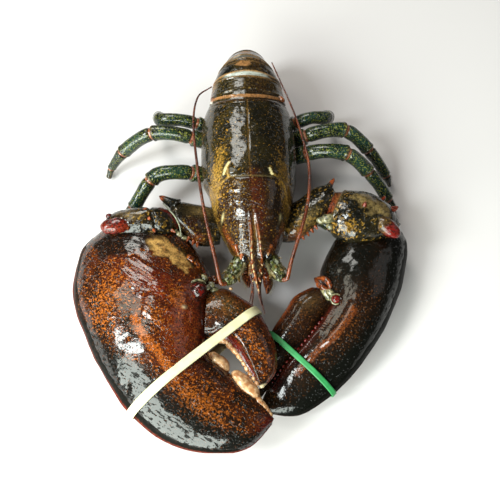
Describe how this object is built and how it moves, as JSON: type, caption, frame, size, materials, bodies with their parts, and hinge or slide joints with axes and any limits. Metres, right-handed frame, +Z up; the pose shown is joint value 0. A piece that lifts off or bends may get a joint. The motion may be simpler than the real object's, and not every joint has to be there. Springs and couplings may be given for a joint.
{
  "type": "american lobster",
  "caption": "Large live lobster at rest with its tail curled under, a blunt crusher claw and a slimmer cutter claw, each held shut by a rubber band.",
  "frame": {"origin": "on the floor, under the middle of the outline", "axes": "-Y is the way the head points, +Z is up, and the lobster's own left side is at +X"},
  "size_m": [0.2996, 0.3745, 0.0899],
  "materials": {
    "shell_back": "wet shell, olive brown with ochre speckle",
    "shell_crusher": "wet shell, dark brown mottled with rust",
    "shell_cutter": "wet shell, black brown",
    "shell_arm": "wet shell, dark olive with orange marks",
    "shell_leg": "wet shell, dark teal green",
    "shell_tail": "wet shell, olive brown",
    "feeler_shell": "satin horny shell, red brown",
    "eye_black": "glossy black",
    "band_yellow": "matt pale yellow rubber",
    "band_green": "matt green rubber"
  },
  "bodies": {
    "root": {"antennule_left": "feeler_shell", "antennule_right": "feeler_shell", "band_crusher": "band_yellow", "band_cutter": "band_green", "carapace": "shell_back", "crusher_carpus": "shell_arm", "crusher_dactyl": "shell_crusher", "crusher_merus": "shell_arm", "crusher_propodus": "shell_crusher", "cutter_carpus": "shell_arm", "cutter_dactyl": "shell_cutter", "cutter_merus": "shell_arm", "cutter_propodus": "shell_cutter", "eye_left": "eye_black", "eye_right": "eye_black", "feeler_base_left": "feeler_shell", "feeler_base_right": "feeler_shell", "feeler_left": "feeler_shell", "feeler_right": "feeler_shell", "leg_left_fifth": "shell_leg", "leg_left_fourth": "shell_leg", "leg_left_second": "shell_leg", "leg_left_third": "shell_leg", "leg_right_fifth": "shell_leg", "leg_right_fourth": "shell_leg", "leg_right_second": "shell_leg", "leg_right_third": "shell_leg", "mouth_leg_left": "feeler_shell", "mouth_leg_right": "feeler_shell", "pleonite_five": "shell_tail", "pleonite_four": "shell_tail", "pleonite_one": "shell_tail", "pleonite_six": "shell_tail", "pleonite_three": "shell_tail", "pleonite_two": "shell_tail", "telson": "shell_tail", "uropod_left_inner": "shell_tail", "uropod_left_outer": "shell_tail", "uropod_right_inner": "shell_tail", "uropod_right_outer": "shell_tail"}
  },
  "joints": []
}
